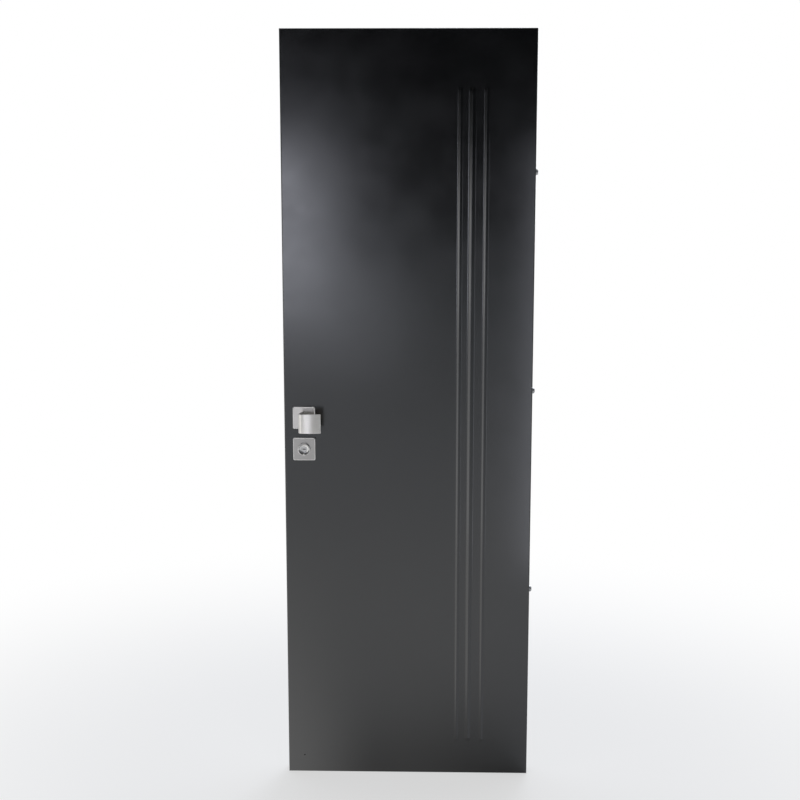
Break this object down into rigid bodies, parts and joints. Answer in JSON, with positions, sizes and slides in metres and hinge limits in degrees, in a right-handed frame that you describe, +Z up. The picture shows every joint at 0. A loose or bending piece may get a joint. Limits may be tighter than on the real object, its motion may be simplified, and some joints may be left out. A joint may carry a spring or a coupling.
{
  "type": "steel security door",
  "caption": "Flush pressed-steel door leaf with vertical ribs, square pulls, a keyed lock cylinder, dog pins in the hinge edge and lift-off hinges.",
  "frame": {"origin": "on the outer face of the bottom hinge's frame plate, midway between its screw holes", "axes": "+Z up, +X out of the hinge edge towards the jamb, -Y out of the outer face"},
  "size_m": [0.681, 0.1658, 2.05],
  "materials": {
    "leaf_paint": "satin",
    "channel_paint": "matt",
    "satin_fittings": "satin",
    "bright_steel": "satin",
    "lock_metal": "satin",
    "hinge_steel": "satin"
  },
  "bodies": {
    "frame_hinges": {"top_hinge_frame_half": "hinge_steel", "middle_hinge_frame_half": "hinge_steel", "bottom_hinge_frame_half": "hinge_steel"},
    "leaf": {"outer_skin": "leaf_paint", "inner_skin": "leaf_paint", "lock_stile": "channel_paint", "hinge_stile": "channel_paint", "top_rail": "channel_paint", "bottom_rail": "channel_paint", "outer_rose": "satin_fittings", "outer_pull_shell": "satin_fittings", "outer_escutcheon": "satin_fittings", "inner_rose": "satin_fittings", "inner_pull_shell": "satin_fittings", "inner_escutcheon": "satin_fittings", "lock_faceplate": "bright_steel", "dead_bolts": "bright_steel", "upper_dog_pin": "bright_steel", "middle_dog_pin": "bright_steel", "lower_dog_pin": "bright_steel", "outer_cylinder_collar": "bright_steel", "inner_cylinder_collar": "bright_steel", "lock_cylinder": "lock_metal", "top_hinge_leaf_half": "hinge_steel", "middle_hinge_leaf_half": "hinge_steel", "bottom_hinge_leaf_half": "hinge_steel"},
    "key_plug": {"key_plug": "lock_metal"}
  },
  "joints": [
    {"name": "door_swing", "type": "hinge", "parent": "frame_hinges", "child": "leaf", "pos_m": [-0.008, -0.027, 0.02757], "axis": [0, 0, -1], "range_deg": [0, 90]},
    {"name": "key_turn", "type": "hinge", "parent": "leaf", "child": "key_plug", "pos_m": [-0.6215, -0.0855, 0.76407], "axis": [0, 1, 0], "continuous": true}
  ]
}
